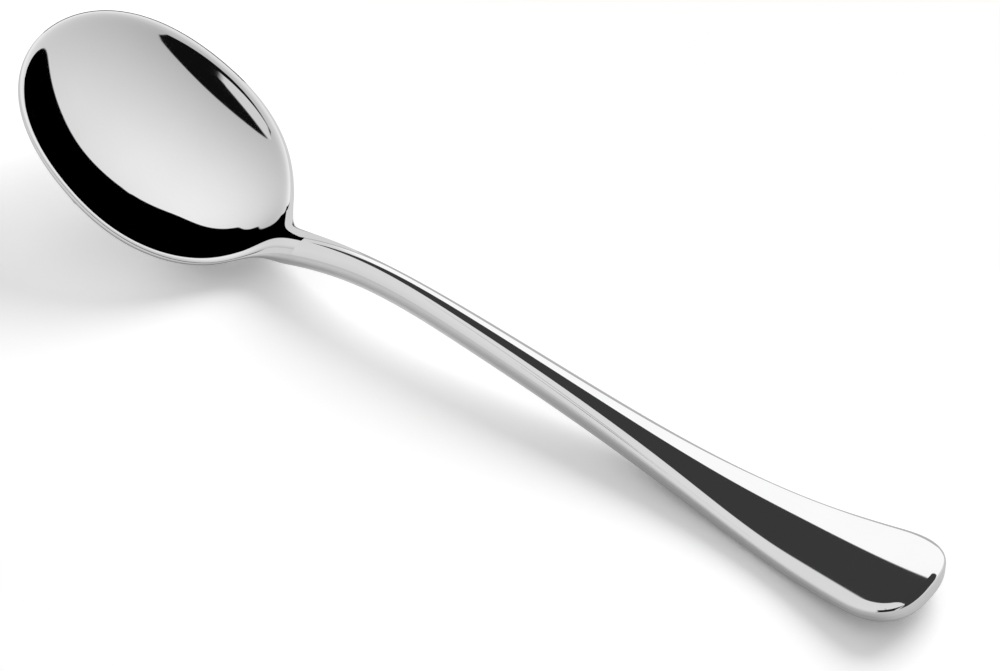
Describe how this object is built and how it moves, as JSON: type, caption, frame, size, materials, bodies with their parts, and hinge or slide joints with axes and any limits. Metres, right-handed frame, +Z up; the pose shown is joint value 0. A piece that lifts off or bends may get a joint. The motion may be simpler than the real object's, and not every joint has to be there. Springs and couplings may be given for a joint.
{
  "type": "serving spoon",
  "caption": "Polished steel serving spoon with a wide, deep oval bowl tilted tip-up, an arched slim neck and a hollow handle that widens to a rounded end.",
  "frame": {"origin": "on the table plane, under the middle of the spoon's length and on its plane of symmetry", "axes": "+X from the tip of the bowl to the end of the handle, +Y across, +Z up, with the spoon lying hollow side up"},
  "size_m": [0.2399, 0.0554, 0.0354],
  "materials": {
    "polished_steel": "mirror polished stainless steel",
    "weld_metal": "weld ground flush and polished",
    "solder": "braze and solder, dressed flush and polished",
    "cement": "dark resin cement, hidden inside the handle"
  },
  "bodies": {
    "root": {"bowl": "polished_steel", "neck_weld": "weld_metal", "shank": "polished_steel", "mouth_solder": "solder", "tang_cement": "cement", "handle_upper_shell": "polished_steel", "handle_lower_shell": "polished_steel", "seam_braze": "solder"}
  },
  "joints": []
}
